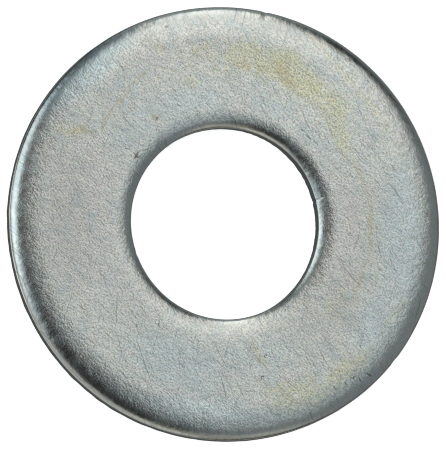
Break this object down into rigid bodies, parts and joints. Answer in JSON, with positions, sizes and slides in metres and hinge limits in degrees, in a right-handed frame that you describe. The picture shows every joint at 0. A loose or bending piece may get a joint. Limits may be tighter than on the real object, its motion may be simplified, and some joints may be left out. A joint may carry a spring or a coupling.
{
  "type": "flat washer",
  "caption": "Wide flat washer of zinc-plated steel: a stamped ring with a round bolt hole, rolled edges on the upper face and a flat bearing face below.",
  "frame": {"origin": "centre of the lower bearing face, on the hole's axis", "axes": "+Z along the hole's axis, from the sharp-edged lower face to the upper face with the rolled edges; X and Y are any two directions square to it, because the ring is round"},
  "size_m": [0.0254, 0.0254, 0.0021],
  "materials": {
    "zinc_plate": "clear-passivated zinc plate over stamped steel: satin grey with a fine grain, faint yellow and blue tints and small handling scratches"
  },
  "bodies": {
    "root": {"flat_washer": "zinc_plate"}
  },
  "joints": []
}
